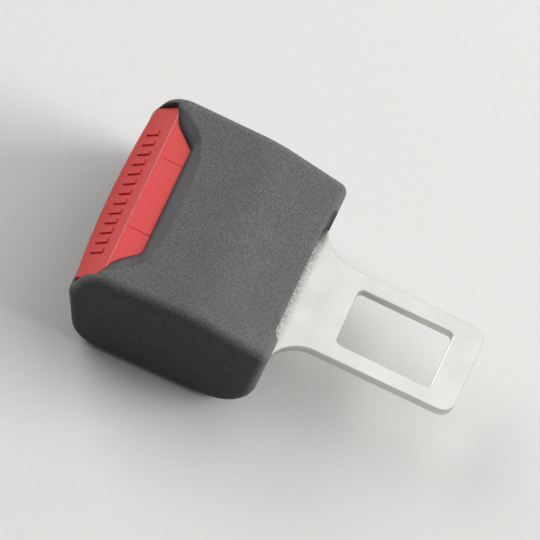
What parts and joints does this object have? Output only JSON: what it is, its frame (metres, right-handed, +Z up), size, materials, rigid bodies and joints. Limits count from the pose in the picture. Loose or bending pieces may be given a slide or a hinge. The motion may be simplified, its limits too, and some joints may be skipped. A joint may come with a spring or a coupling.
{
  "type": "seat belt extender",
  "caption": "Seat belt extender: a buckle with a red push button in a black housing, and a flat steel tongue with a window that plugs into another buckle.",
  "frame": {"origin": "middle of the flat bottom face of the housing, half-way between its nose and rear face", "axes": "+X from the release button to the tip of the tongue, +Z up out of the housing's top"},
  "size_m": [0.0826, 0.0498, 0.0264],
  "materials": {
    "black_plastic": "moulded ABS with a fine pebbled grain, smooth along the button opening",
    "red_plastic": "glossy moulded ABS",
    "plated_steel": "bright plated steel with faint handling scratches",
    "frame_steel": "zinc plated pressing",
    "pin_steel": "turned steel",
    "spring_steel": "drawn spring wire",
    "screw_steel": "dark zinc plated",
    "guide_plastic": "moulded acetal",
    "ejector_plastic": "moulded natural acetal"
  },
  "bodies": {
    "housing": {"upper_cover": "black_plastic", "lower_cover": "black_plastic", "tongue_plate": "plated_steel", "buckle_frame": "frame_steel", "latch_pin": "pin_steel", "pin_clip": "spring_steel", "tongue_guide": "guide_plastic", "button_spring_left": "spring_steel", "button_spring_right": "spring_steel", "ejector_spring": "spring_steel", "latch_spring": "spring_steel", "frame_rivet_left": "pin_steel", "frame_rivet_right": "pin_steel", "cover_screw_front_left": "screw_steel", "cover_screw_front_right": "screw_steel", "cover_screw_rear_left": "screw_steel", "cover_screw_rear_right": "screw_steel"},
    "button": {"press_button": "red_plastic"},
    "latch": {"latch_plate": "frame_steel"},
    "ejector": {"ejector": "ejector_plastic"}
  },
  "joints": [
    {"name": "button_slide", "type": "slide", "parent": "housing", "child": "button", "axis": [1, 0, 0], "range_m": [0, 0.005], "stiffness_N_per_m": 400, "springref_m": -0.004, "deforming": ["button_spring_left", "button_spring_right"]},
    {"name": "latch_turn", "type": "hinge", "parent": "housing", "child": "latch", "pos_m": [0.0088, 0, 0.0176], "axis": [0, 1, 0], "range_deg": [0, 13.2], "stiffness_Nm_per_rad": 0.02, "springref_deg": -11.46, "deforming": ["latch_spring"]},
    {"name": "ejector_slide", "type": "slide", "parent": "housing", "child": "ejector", "axis": [1, 0, 0], "range_m": [0, 0.007], "stiffness_N_per_m": 150, "springref_m": -0.003, "deforming": ["ejector_spring"]}
  ],
  "couplings": [
    {"joint": "latch_turn", "follows": "button_slide", "rad_per_m": 45.73}
  ]
}
